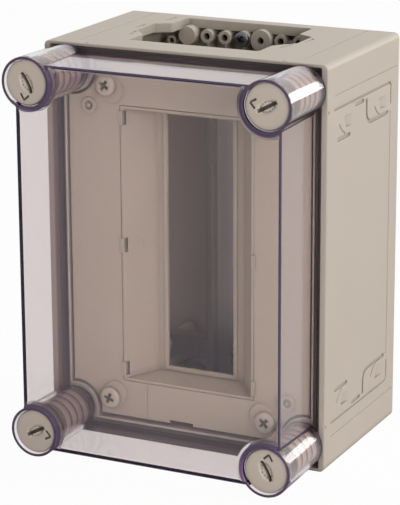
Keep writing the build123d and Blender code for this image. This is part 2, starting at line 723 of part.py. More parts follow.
def make_window_frame():
    front = COVER_DEPTH
    back = COVER_DEPTH + FRAME_DEPTH
    outer = loft_between(WINDOW_W + 2 * FRAME_WALL, WINDOW_H + 2 * FRAME_WALL,
                         FLOOR_W + 2 * FRAME_WALL, FLOOR_H + 2 * FRAME_WALL,
                         front, back + FLOOR_T)
    inner = loft_between(WINDOW_W, WINDOW_H, FLOOR_W, FLOOR_H, front, back)
    frame = outer - inner
    module_h = MODULE_PITCH * MODULE_COUNT
    bead = Rectangle(MODULE_WINDOW + 2 * BEAD_W, module_h + 2 * BEAD_W)
    frame += prism(bead, back - BEAD_RISE, back + FLOOR_T)
    frame -= prism(Rectangle(MODULE_WINDOW, module_h), front, back + FLOOR_T + 1)
    edge_x = WINDOW_W / 2 + FRAME_WALL
    hook_x = edge_x + FRAME_GAP + CLIP_OVERLAP
    slot_x = WINDOW_W / 2 - CLIP_SLOT_W
    for z in clip_heights():
        z0 = MID_Z + z - CLIP_L / 2
        z1 = MID_Z + z + CLIP_L / 2
        for side in (-1, 1):
            tab_x = side * WINDOW_W / 2
            frame += block(tab_x, side * hook_x, front - CLIP_RISE, front, z0, z1)
            frame += block(side * (edge_x - FRAME_WALL), side * hook_x, COVER_BACK,
                           COVER_BACK + HOOK_T, z0, z1) - inner
            frame -= block(side * slot_x, tab_x, front - 1, front + CLIP_SLOT_L, z0, z1)
    slope_x = WINDOW_W / 2 - FUNNEL_X / 2
    funnel_wall = Plane(origin=(-slope_x, RIM_Y + front + FRAME_DEPTH / 2, MID_Z),
                        x_dir=(0, 0, 1), z_dir=(FRAME_DEPTH, -FUNNEL_X, 0))
    frame -= sink(funnel_wall, Circle(EJECTOR_R), EJECTOR_DEPTH)
    return frame


def loft_between(w0, h0, w1, h1, y0, y1):
    """A tapered block from one front-view rectangle to another."""
    near = Plane(origin=(0, RIM_Y + y0, MID_Z), x_dir=(1, 0, 0), z_dir=(0, -1, 0))
    far = Plane(origin=(0, RIM_Y + y1, MID_Z), x_dir=(1, 0, 0), z_dir=(0, -1, 0))
    return loft([near * Rectangle(w0, h0), far * Rectangle(w1, h1)])


# Screws and pillars
def cross_recess(x, z, y, reach, arm, depth):
    """Two crossed slots in a screw head."""
    half = arm / 2
    upright = block(x - half, x + half, y - 1, y + depth, MID_Z + z - reach, MID_Z + z + reach)
    level = block(x - reach, x + reach, y - 1, y + depth, MID_Z + z - half, MID_Z + z + half)
    return upright + level


def make_screw(x, z, seat, head_r, head_h, shank_r, length, turn=0.0):
    """A pan-head cross-recess screw, its head seated at a depth."""
    head = rod(x, z, seat - head_h, seat, head_r)
    head = fillet(head.faces().sort_by(Axis.Y)[0].edges(), head_h * 0.6)
    shank = rod(x, z, seat, seat + length, shank_r)
    recess = cross_recess(x, z, seat - head_h, head_r * CROSS_REACH, head_r * CROSS_ARM,
                          head_h * CROSS_DEPTH)
    recess = recess.rotate(Axis((x, 0, MID_Z + z), (0, 1, 0)), turn)
    return head + shank - recess


def make_cover_screw(sx, sz):
    seat = COVER_DEPTH - PAD_RISE
    turn = 38 + 11 * sx + 5 * sz
    return make_screw(sx * SCREW_X, sz * SCREW_Z, seat, HEAD_R, HEAD_H, SHANK_R, SHANK_L, turn)


def make_cover_pillar(sx, sz):
    x = sx * SCREW_X
    z = sz * SCREW_Z
    pillar = rod(x, z, COVER_BACK, FLOOR_Y, PILLAR_TIP_R, PILLAR_ROOT_R)
    pillar += rod(x, z, FLOOR_Y - PILLAR_FOOT_T, FLOOR_Y, PILLAR_FOOT_R)
    pillar -= rod(x, z, COVER_BACK - 1, COVER_BACK + SHANK_L, SHANK_R + SHANK_FIT)
    return pillar


def make_support_screw(sx, sz):
    seat = RAIL_PLANE + RAIL_D
    return make_screw(sx * SUPPORT_HOLE_X, sz * SUPPORT_Z, seat,
                      SMALL_HEAD_R, SMALL_HEAD_H, SHANK_R, SHANK_L, SMALL_SCREW_TURN)


def make_rail_screw(sz):
    seat = RAIL_PLANE + RAIL_D - RAIL_T
    return make_screw(0, sz * SUPPORT_Z, seat, SMALL_HEAD_R, SMALL_HEAD_H,
                      SHANK_R, RAIL_SHANK_L, 15)


def make_boss_screw():
    rings, plain, screw_boss, wide = row_bosses()
    x, front, radius = screw_boss
    return make_screw(x, ROW_Z, front, BOSS_HEAD_R, SMALL_HEAD_H,
                      RING_BORE_R - SHANK_FIT, BOSS_SHANK_L, 30)


# Rail and supports
def make_mounting_rail():
    half = RAIL_W / 2
    inner = RAIL_CHANNEL_W / 2
    y0 = RIM_Y + RAIL_PLANE
    y1 = y0 + RAIL_D
    outside = [(-half, y0), (-inner + RAIL_T, y0), (-inner + RAIL_T, y1 - RAIL_T),
               (inner - RAIL_T, y1 - RAIL_T), (inner - RAIL_T, y0), (half, y0)]
    inside = [(half, y0 + RAIL_T), (inner, y0 + RAIL_T), (inner, y1),
              (-inner, y1), (-inner, y0 + RAIL_T), (-half, y0 + RAIL_T)]
    section = make_face(Polyline(*outside, *inside, close=True))
    rail = extrude(Pos(0, 0, MID_Z - RAIL_L / 2) * section, amount=RAIL_L)
    web = RAIL_PLANE + RAIL_D
    for sz in (-1, 1):
        slot = Pos(0, sz * SUPPORT_Z) * Rot(0, 0, 90) * SlotOverall(RAIL_SLOT_L, RAIL_SLOT_W)
        rail -= prism(slot, web - 2 * RAIL_T, web + 1)
    return rail


def make_rail_support(sz):
    """A sheet-steel channel across the housing, open to the back."""
    front = RAIL_PLANE + RAIL_D
    z = MID_Z + sz * SUPPORT_Z
    half = SUPPORT_H / 2
    bar = block(-SUPPORT_L / 2, SUPPORT_L / 2, front, front + SUPPORT_D, z - half, z + half)
    inside = half - SUPPORT_T
    bar -= block(-SUPPORT_L, SUPPORT_L, front + SUPPORT_T, front + SUPPORT_D + 1, z - inside, z + inside)
    for x in (-SUPPORT_HOLE_X, 0, SUPPORT_HOLE_X):
        bar -= rod(x, sz * SUPPORT_Z, front - 1, front + SUPPORT_T + 1, SHANK_R + SHANK_FIT)
    return bar


def build_all():
    nodes = {
        "base_housing": make_base_housing(),
        "lid_gasket": make_lid_gasket(),
        "clear_lid": make_clear_lid(),
        "device_cover": make_device_cover(),
        "window_frame": make_window_frame(),
        "mounting_rail": make_mounting_rail(),
        "boss_screw": make_boss_screw(),
    }
    for corner, (sx, sz) in CORNERS.items():
        nodes["lid_fastener_" + corner] = make_fastener(corner)
        nodes["cover_screw_" + corner] = make_cover_screw(sx, sz)
        nodes["cover_pillar_" + corner] = make_cover_pillar(sx, sz)
        nodes["support_screw_" + corner] = make_support_screw(sx, sz)
    for name, sz in (("top", 1), ("bottom", -1)):
        nodes["rail_support_" + name] = make_rail_support(sz)
        nodes["rail_screw_" + name] = make_rail_screw(sz)
    return nodes


os.makedirs("parts", exist_ok=True)
for node, solid in build_all().items():
    export_step(solid, "parts/" + node + ".step")
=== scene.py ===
import json
import math

import bmesh
import bpy
from mathutils import Matrix, Vector
from mathutils.geometry import delaunay_2d_cdt


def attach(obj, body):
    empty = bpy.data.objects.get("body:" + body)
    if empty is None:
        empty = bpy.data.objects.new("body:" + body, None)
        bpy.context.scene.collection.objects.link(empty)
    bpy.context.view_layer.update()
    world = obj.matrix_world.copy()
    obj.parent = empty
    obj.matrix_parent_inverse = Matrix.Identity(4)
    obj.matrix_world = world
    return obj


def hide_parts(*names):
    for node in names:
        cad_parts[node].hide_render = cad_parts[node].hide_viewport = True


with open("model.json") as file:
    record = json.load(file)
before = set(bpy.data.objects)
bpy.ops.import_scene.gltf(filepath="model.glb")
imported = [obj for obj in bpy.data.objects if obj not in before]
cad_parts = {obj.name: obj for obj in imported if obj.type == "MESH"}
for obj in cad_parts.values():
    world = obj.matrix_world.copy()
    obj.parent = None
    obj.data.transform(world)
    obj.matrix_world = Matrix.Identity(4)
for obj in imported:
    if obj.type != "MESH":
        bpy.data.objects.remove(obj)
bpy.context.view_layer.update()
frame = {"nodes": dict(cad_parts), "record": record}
NODES = frame["nodes"]
MM = 0.001

# Camera of the photograph, found from the outer corners of the housing and the lid
CAMERA_PLACE = (0.605, -1.23425, 0.516)
CAMERA_YAW = math.radians(26.27)
CAMERA_PITCH = math.radians(16.12)
CAMERA_ROLL = math.radians(-0.30)
FOCAL_PIXELS = 2316.0
LONG_SIDE_PIXELS = 505.0
SENSOR_MM = 36.0

# Places in mm: the front rim of the housing, from which depths are measured, the middle of
# the height, and the middles of the four corner towers seen from the middle of the front
RIM_Y = -31.25
MIDDLE_Z = 125
TOWER_X = 77.85
TOWER_Z = 109.1


# Shader nodes and materials
def srgb(code):
    """A hex colour as linear RGBA."""
    value = code.lstrip("#")
    channels = [int(value[i:i + 2], 16) / 255 for i in (0, 2, 4)]
    linear = [c / 12.92 if c <= 0.04045 else ((c + 0.055) / 1.055) ** 2.4 for c in channels]
    return (*linear, 1.0)


WHITE = srgb("#FFFFFF")


def add(tree, kind, settings=None, inputs=None, links=None):
    """Adds a node, sets its settings and input values, and links sockets into it."""
    node = tree.nodes.new(kind)
    for key, value in (settings or {}).items():
        setattr(node, key, value)
    for key, value in (inputs or {}).items():
        node.inputs[key].default_value = value
    for key, socket in (links or {}).items():
        tree.links.new(socket, node.inputs[key])
    return node


def new_material(name):
    """A material and its empty node tree."""
    material = bpy.data.materials.new(name)
    material.use_nodes = True
    material.node_tree.nodes.clear()
    return material, material.node_tree


def per_mm(size):
    """Noise scale on Object coordinates, in metres, for a grain of this size in mm."""
    return 1.0 / (size * MM)


def moulded_plastic(name, colour, patch, roughness, grain_mm, grain_depth, shade_power, reach):
    """Injection-moulded thermoplastic with a spark-eroded tool finish and painted shade in its
    corners.
    """
    material, tree = new_material(name)
    place = add(tree, "ShaderNodeTexCoord")
    # Cloudy tone where the melt cooled unevenly, a few centimetres across
    cloud = add(tree, "ShaderNodeTexNoise", inputs={"Scale": per_mm(55), "Detail": 3.0},
                links={"Vector": place.outputs["Object"]})
    tone = add(tree, "ShaderNodeMix", {"data_type": "RGBA"},
               {"A": srgb(colour), "B": srgb(patch)}, {"Factor": cloud.outputs["Fac"]})
    # Fine grain of the eroded tool face, drawn a little coarse so that it shows
    grain = add(tree, "ShaderNodeTexNoise", inputs={"Scale": per_mm(grain_mm), "Detail": 2.0},
                links={"Vector": place.outputs["Object"]})
    bump = add(tree, "ShaderNodeBump", inputs={"Strength": 0.35, "Distance": grain_depth * MM},
               links={"Height": grain.outputs["Fac"]})
    # The grain breaks up the shine
    gloss = add(tree, "ShaderNodeMapRange",
                inputs={"To Min": roughness - 0.05, "To Max": roughness + 0.05},
                links={"Value": grain.outputs["Fac"]})
    # Painted shade in grooves and inner corners: ambient occlusion darkens the tone towards dark
    # brown
    corner = add(tree, "ShaderNodeAmbientOcclusion", {"samples": 6}, {"Distance": reach * MM})
    lit_share = add(tree, "ShaderNodeMath", {"operation": "POWER"}, {1: shade_power},
                {0: corner.outputs["AO"]})
    shaded_tone = add(tree, "ShaderNodeMix", {"data_type": "RGBA"}, {"A": srgb("#5E554C")},
                {"Factor": lit_share.outputs["Value"], "B": tone.outputs["Result"]})
    shader = add(tree, "ShaderNodeBsdfPrincipled", inputs={"IOR": 1.54, "Metallic": 0.0},
                 links={"Base Color": shaded_tone.outputs["Result"],
                        "Roughness": gloss.outputs["Result"],
                        "Normal": bump.outputs["Normal"]})
    add(tree, "ShaderNodeOutputMaterial", links={"Surface": shader.outputs["BSDF"]})
    return material


def clear_polycarbonate(name, tint, roughness, haze_share, haze_colour):
    """Clear polycarbonate: plain through a wall, violet where the eye looks along it."""
    material, tree = new_material(name)
    glass = add(tree, "ShaderNodeBsdfPrincipled",
                inputs={"Base Color": srgb(tint), "IOR": 1.47, "Roughness": roughness,
                        "Transmission Weight": 1.0})
    # Haze of the moulded skin as a violet diffuse share: faint on a wall, and strong in the
    # edges' copy, where it is painted violet for light piped along a wall
    haze = add(tree, "ShaderNodeBsdfDiffuse", inputs={"Color": srgb(haze_colour)})
    skin = add(tree, "ShaderNodeMixShader", inputs={0: haze_share},
               links={1: glass.outputs["BSDF"], 2: haze.outputs["BSDF"]})
    # Light reaches what is behind the lid as through a thin pane
    path = add(tree, "ShaderNodeLightPath")
    pane = add(tree, "ShaderNodeBsdfTransparent", inputs={"Color": srgb("#E2DFE3")})
    surface = add(tree, "ShaderNodeMixShader",
                  links={0: path.outputs["Is Shadow Ray"], 1: skin.outputs["Shader"],
                         2: pane.outputs["BSDF"]})
    # The blue dye against yellowing takes out green and leaves violet in a long way through
    dye = add(tree, "ShaderNodeVolumeAbsorption",
              inputs={"Color": (0.37, 0.0, 0.42, 1.0), "Density": 38.0})
    add(tree, "ShaderNodeOutputMaterial",
        links={"Surface": surface.outputs["Shader"], "Volume": dye.outputs["Volume"]})
    return material


def gasket_rubber():
    """Foamed polyurethane gasket: dark, matt and slightly porous."""
    material, tree = new_material("foamed_polyurethane")
    place = add(tree, "ShaderNodeTexCoord")
    # Pores about a millimetre across, as pits and as a lighter and darker speckle
    pores = add(tree, "ShaderNodeTexNoise", inputs={"Scale": per_mm(1.2), "Detail": 4.0},
                links={"Vector": place.outputs["Object"]})
    bump = add(tree, "ShaderNodeBump", inputs={"Strength": 0.5, "Distance": 0.15 * MM},
               links={"Height": pores.outputs["Fac"]})
    tone = add(tree, "ShaderNodeMix", {"data_type": "RGBA"},
               {"A": srgb("#5A5550"), "B": srgb("#6A645E")}, {"Factor": pores.outputs["Fac"]})
    shader = add(tree, "ShaderNodeBsdfPrincipled", inputs={"Roughness": 0.85, "IOR": 1.5},
                 links={"Base Color": tone.outputs["Result"],
                        "Normal": bump.outputs["Normal"]})
    add(tree, "ShaderNodeOutputMaterial", links={"Surface": shader.outputs["BSDF"]})
    return material


def plated_steel(name, colour, patch, roughness, along):
    """Zinc-plated sheet or screw steel with a faint rolled streak along one axis."""
    material, tree = new_material(name)
    place = add(tree, "ShaderNodeTexCoord")
    # Streaks under a millimetre wide and 25 times as long
    stretch = [1.0, 1.0, 1.0]
    stretch[along] = 0.04
    turned = add(tree, "ShaderNodeMapping", inputs={"Scale": stretch},
                 links={"Vector": place.outputs["Object"]})
    streak = add(tree, "ShaderNodeTexNoise", inputs={"Scale": per_mm(0.8), "Detail": 3.0},
                 links={"Vector": turned.outputs["Vector"]})
    tone = add(tree, "ShaderNodeMix", {"data_type": "RGBA"},
               {"A": srgb(colour), "B": srgb(patch)}, {"Factor": streak.outputs["Fac"]})
    # The streaks shine a little more and a little less
    gloss = add(tree, "ShaderNodeMapRange",
                inputs={"To Min": roughness - 0.08, "To Max": roughness + 0.08},
                links={"Value": streak.outputs["Fac"]})
    shader = add(tree, "ShaderNodeBsdfPrincipled", inputs={"Metallic": 1.0},
                 links={"Base Color": tone.outputs["Result"],
                        "Roughness": gloss.outputs["Result"]})
    add(tree, "ShaderNodeOutputMaterial", links={"Surface": shader.outputs["BSDF"]})
    return material


# Name, colour, cloud colour, roughness, grain size and depth in mm, how strongly painted
# shade darkens a corner, and how far from the corner in mm
PLASTICS = {
    "housing_plastic": ("housing_polystyrene", "#C4B8AA", "#C8BDB0", 0.50, 0.6, 0.03, 0.7, 6.0),
    "cover_plastic": ("cover_polystyrene", "#BAAE9B", "#C0B4A1", 0.45, 0.6, 0.02, 0.7, 6.0),
    "frame_plastic": ("window_frame_polystyrene", "#B6AB98", "#BDB09E", 0.45, 0.6, 0.02,
                      0.7, 6.0),
    "pillar_plastic": ("pillar_polyamide", "#B3A798", "#B9AD9F", 0.50, 0.6, 0.02, 0.7, 6.0),
    "screw_plastic": ("cover_screw_polyamide", "#C2B7A5", "#C9BEAC", 0.38, 0.8, 0.01, 1.4, 6.0),
    "fastener_plastic": ("fastener_polyamide", "#DED0C2", "#E4D5C8", 0.40, 0.8, 0.01, 1.2, 3.5),
}
# Name, colour, streak colour, roughness, and the axis of the streaks: 1 is Y and 2 is Z
STEELS = {
    "zinc_steel": ("zinc_plated_steel", "#B8B4AC", "#A5A199", 0.38, 2),
    "screw_steel": ("screw_steel", "#B0B0AC", "#9C9C98", 0.32, 1),
    "dark_steel": ("dark_screw_steel", "#6F7274", "#5A5C5E", 0.35, 1),
}
# Name, tint, roughness, share of haze and its colour
CLEAR_WALL = ("polished_polycarbonate", "#F9F8F3", 0.02, 0.023, "#9F86B6")
# The edges' copy: its strong violet haze is painted light, the glow of light piped along a wall
CLEAR_EDGE = ("polycarbonate_wall_edge", "#B4A0C8", 0.15, 0.40, "#927EA4")


def make_materials():
    """One material for each slot of the record."""
    made = {slot: moulded_plastic(*values) for slot, values in PLASTICS.items()}
    made.update({slot: plated_steel(*values) for slot, values in STEELS.items()})
    made["gasket_rubber"] = gasket_rubber()
    made["clear_polycarbonate"] = clear_polycarbonate(*CLEAR_WALL)
    return made


def paint_nodes(materials):
    """Gives every CAD node its slot's material and returns each node's slot."""
    slots = {row["node"]: row["material_slot"] for row in frame["record"]["subparts"]}
    for name, node in NODES.items():
        node.data.materials.clear()
        node.data.materials.append(materials[slots[name]])
    return slots


# Meshes with rounded edges
# Width of the rounding in mm, and the least turn in degrees of an edge that gets one
EDGES = {
    "base_housing": (0.35, 30),
    "device_cover": (0.35, 30),
    "window_frame": (0.35, 30),
    "mounting_rail": (0.2, 30),
    "rail_support": (0.3, 30),
    "cover_pillar": (0.4, 30),
    "lid_fastener": (0.3, 40),
    "clear_lid": (0.4, 30),
}
# A rounding takes at most this share of the narrowest room beside its edge
ROOM_SHARE = 0.42
NO_LIMIT = 1.0
# Cosine of the turn up to which one sharp edge runs on into the next
RUNS_ON = 0.75
MERGE_MM = 0.002
FLAT_TURN = math.radians(0.6)
# A slight angle stays crisp between faces at least this wide
SLIGHT_TURN = math.radians(2)
BROAD_MM = 3.5
TILE_TOLERANCE = 1e-4


def sharp_chains(mesh, least_turn):
    """Gives each sharp edge the least room beside the whole chain of edges it runs on in."""
    sharp = {edge for edge in mesh.edges
             if len(edge.link_faces) == 2 and edge.calc_face_angle(0.0) > least_turn}
    leader = {edge: edge for edge in sharp}
    room = {edge: NO_LIMIT for edge in sharp}

    def find(edge):
        while leader[edge] is not edge:
            leader[edge] = leader[leader[edge]]
            edge = leader[edge]
        return edge

    for vertex in mesh.verts:
        for edge in [e for e in vertex.link_edges if e in sharp]:
            way = (vertex.co - edge.other_vert(vertex).co).normalized()
            for other in vertex.link_edges:
                if other is edge:
                    continue
                onward = (other.other_vert(vertex).co - vertex.co).normalized()
                if other in sharp and way.dot(onward) > RUNS_ON:
                    leader[find(other)] = find(edge)
                else:
                    room[edge] = min(room[edge], other.calc_length())
    least = {}
    for edge in sharp:
        head = find(edge)
        least[head] = min(least.get(head, NO_LIMIT), room[edge])
    return {edge: least[find(edge)] for edge in sharp}


def face_width(face):
    """About how wide a face is, whatever its length."""
    return 2 * face.calc_area() / face.calc_perimeter()


def meets_flat(edge):
    """True where two broad flat faces meet at a slight angle, as in a wedge pocket's floor."""
    if len(edge.link_faces) != 2 or edge.calc_face_angle(0.0) < SLIGHT_TURN:
        return False
    return min(face_width(face) for face in edge.link_faces) > BROAD_MM * MM


def retile(mesh):
    """Cuts every many-sided flat face into triangles that keep its holes and notches open."""
    shape = bmesh.new()
    shape.from_mesh(mesh)
    wide = [face for face in shape.faces if len(face.verts) > 4]
    for face in wide:
        normal = face.normal.copy()
        across = normal.orthogonal().normalized()
        upward = normal.cross(across)
        corners = face.verts[:]
        level = corners[0].co.dot(normal)
        flat = [Vector((v.co.dot(across), v.co.dot(upward))) / MM for v in corners]
        points, _, tiles, came_from, _, _ = delaunay_2d_cdt(
            flat, [], [list(range(len(flat)))], 1, TILE_TOLERANCE)
        placed = []
        for point, origin in zip(points, came_from):
            if origin:
                placed.append(corners[origin[0]])
            else:
                spot = (across * point.x + upward * point.y) * MM + normal * level
                placed.append(shape.verts.new(spot))
        for tile in tiles:
            ring = [placed[i] for i in tile]
            if len(set(ring)) == 3 and shape.faces.get(ring) is None:
                shape.faces.new(ring).smooth = True
    bmesh.ops.delete(shape, geom=wide, context="FACES_ONLY")
    shape.to_mesh(mesh)
    shape.free()


# A fastener's measures in mm, depths from the rim: the ribs of its barrel as they are in the
# solid, and how much deeper the gaps, the slot and the marks are cut here
RIB_CREST_R = 12.4
RIB_GAP_R = 9.3
DEEP_GAP_R = 6.4
GAPS_FROM, GAPS_TO = -34.5, -4.0
FIRST_RIB = -34.9
RIB_PITCH = 7.2
CREST_SIDE = 0.2
CREST_WIDER = 0.7
DISC_FROM = -46
SLOT_FLOOR, SLOT_R, SLOT_DEEPER = -46.9, 8, 3.4
MARK_FLOOR, MARK_R, MARK_DEEPER = -48.6, 13, 1.0
NEAR_R = 0.1
NEAR_DEPTH = 0.05


def deepen_fastener(shape):
    """Cuts the gaps between the barrel's ribs, the slot and the marks to their full depth."""
    disc = [v.co for v in shape.verts if v.co.y < (RIM_Y + DISC_FROM) * MM]
    across = [spot.x for spot in disc]
    upward = [spot.z for spot in disc]
    centre = Vector(((min(across) + max(across)) / 2, 0, (min(upward) + max(upward)) / 2))
    for vertex in shape.verts:
        arm = vertex.co - centre
        depth = arm.y / MM - RIM_Y
        arm.y = 0
        radius = arm.length / MM
        if abs(radius - RIB_GAP_R) < NEAR_R and GAPS_FROM < depth < GAPS_TO:
            spot = centre + arm * (DEEP_GAP_R / radius)
            vertex.co = (spot.x, vertex.co.y, spot.z)
        elif abs(radius - RIB_CREST_R) < NEAR_R:
            behind = round((depth - FIRST_RIB) / RIB_PITCH % 1, 3) > CREST_SIDE
            vertex.co.y += CREST_WIDER * MM * (1 if behind else -1)
        elif abs(depth - SLOT_FLOOR) < NEAR_DEPTH and radius < SLOT_R:
            vertex.co.y += SLOT_DEEPER * MM
        elif abs(depth - MARK_FLOOR) < NEAR_DEPTH and radius < MARK_R:
            vertex.co.y += MARK_DEEPER * MM


def rounded_copy(name, width_mm, least_turn):
    """A merged copy of a CAD node with its sharp edges rounded as a mould leaves them."""
    source = NODES[name]
    shape = bmesh.new()
    shape.from_mesh(source.data)
    bmesh.ops.remove_doubles(shape, verts=shape.verts, dist=MERGE_MM * MM)
    if name.startswith("lid_fastener"):
        deepen_fastener(shape)
    bmesh.ops.dissolve_limit(shape, angle_limit=FLAT_TURN, verts=shape.verts[:],
                             edges=shape.edges[:])
    for edge in shape.edges:
        edge.smooth = not meets_flat(edge)
    weight = shape.edges.layers.float.new("bevel_weight_edge")
    for edge, room in sharp_chains(shape, math.radians(least_turn)).items():
        edge[weight] = min(1.0, ROOM_SHARE * room / (width_mm * MM))
    for face in shape.faces:
        face.smooth = True
    mesh = bpy.data.meshes.new(name + "_finished")
    shape.to_mesh(mesh)
    shape.free()
    piece = bpy.data.objects.new(name + "_finished", mesh)
    bpy.context.scene.collection.objects.link(piece)
    bevel = piece.modifiers.new("rounded_edges", "BEVEL")
    bevel.limit_method = "WEIGHT"
    bevel.width = width_mm * MM
    bevel.segments = 2
    bevel.use_clamp_overlap = False
    bevel.miter_outer = "MITER_ARC"
    settle(piece)
    retile(piece.data)
    normals = piece.modifiers.new("flat_faces", "WEIGHTED_NORMAL")
    normals.keep_sharp = True
    normals.weight = 100
    settle(piece)
    piece.data.materials.clear()
    piece.data.materials.append(source.data.materials[0])
    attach(piece, source_body(name))
    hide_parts(name)
    return piece


# The lid's edges in mm: depths from the rim of its front and of its tower ends, the radius
# round a tower in which nothing else is painted violet, and the least lean of a rounded edge
LID_EDGE_DEPTH = -46.8
TOWER_END_DEPTH = -49.7
TOWER_CLEAR_R = 19.8
SQUARE_ON = 0.985


def paint_violet_light_on_lid_edges(piece, material):
    """Paints tower ends and rounded front edges violet, as light piped along a wall shows them.
    """
    piece.data.materials.append(material)
    for face in piece.data.polygons:
        spot = face.center
        off_tower = math.hypot(abs(spot.x) - TOWER_X * MM,
                               abs(spot.z - MIDDLE_Z * MM) - TOWER_Z * MM)
        leans = max(abs(n) for n in face.normal) < SQUARE_ON
        at_front = spot.y < (RIM_Y + LID_EDGE_DEPTH) * MM and off_tower > TOWER_CLEAR_R * MM
        if spot.y < (RIM_Y + TOWER_END_DEPTH) * MM or (at_front and leans):
            face.material_index = 1


def settle(piece):
    """Turns a piece's modifiers into its plain mesh."""
    seen = piece.evaluated_get(bpy.context.evaluated_depsgraph_get())
    mesh = bpy.data.meshes.new_from_object(seen)
    old = piece.data
    piece.modifiers.clear()
    piece.data = mesh
    mesh.name = piece.name
    bpy.data.meshes.remove(old)


def source_body(name):
    """The body that a CAD node belongs to."""
    bodies = frame["record"]["behaviour"]["bodies"]
    return next(body for body, nodes in bodies.items() if name in nodes)


def round_all():
    """Replaces the nodes in EDGES by rounded copies."""
    # The edges' material paints the violet of light piped along a wall
    edge = clear_polycarbonate(*CLEAR_EDGE)
    for name in NODES:
        for start, (width, least_turn) in EDGES.items():
            if name.startswith(start):
                piece = rounded_copy(name, width, least_turn)
                if name == "clear_lid":
                    paint_violet_light_on_lid_edges(piece, edge)


# Screws
# Head radius, head height, shank radius and thread pitch in mm
SCREWS = {
    "cover_screw": (6.8, 3.4, 2.4, 1.6),
    "support_screw": (4.6, 2.6, 2.4, 1.2),
    "rail_screw": (4.6, 2.6, 2.4, 1.2),
    "boss_screw": (5.0, 2.6, 2.0, 1.2),
}
# How far each cover screw's recess is turned, as the photograph shows, and any other's
COVER_SCREW_TURNS = {"top_left": 32, "top_right": 54, "bottom_left": 22, "bottom_right": 44}
OTHER_TURN = 25

# Head: powers that press a ball to a pan, of the way out and of the height
RIM_POWER = -0.45
CROWN_POWER = 0.55
NOT_ZERO = 0.0001
# Recess: length and width of an arm as shares of the head's radius, its floor's size as a
# share of its mouth's, and its floor's height as a share of the head's
ARM_LENGTH = 1.15
ARM_WIDTH = 0.34
FLOOR_SIZE = 0.4
FLOOR_HEIGHT = 0.1
# Shank: root and ridge of the thread as shares of its radius, and along its length the
# middle, the start of the thread and the thread's run
ROOT = 0.78
RIDGE = 0.2
SHANK_MIDDLE = -0.499
THREAD_START = -0.95
THREAD_RUN = 0.88
CRISP_TURN = math.radians(32)
QUARTER_TURN = math.radians(90)


def tree_input(tree, name, kind):
    """Adds a named input to a node group and returns its identifier."""
    return tree.interface.new_socket(name, in_out="INPUT", socket_type=kind).identifier


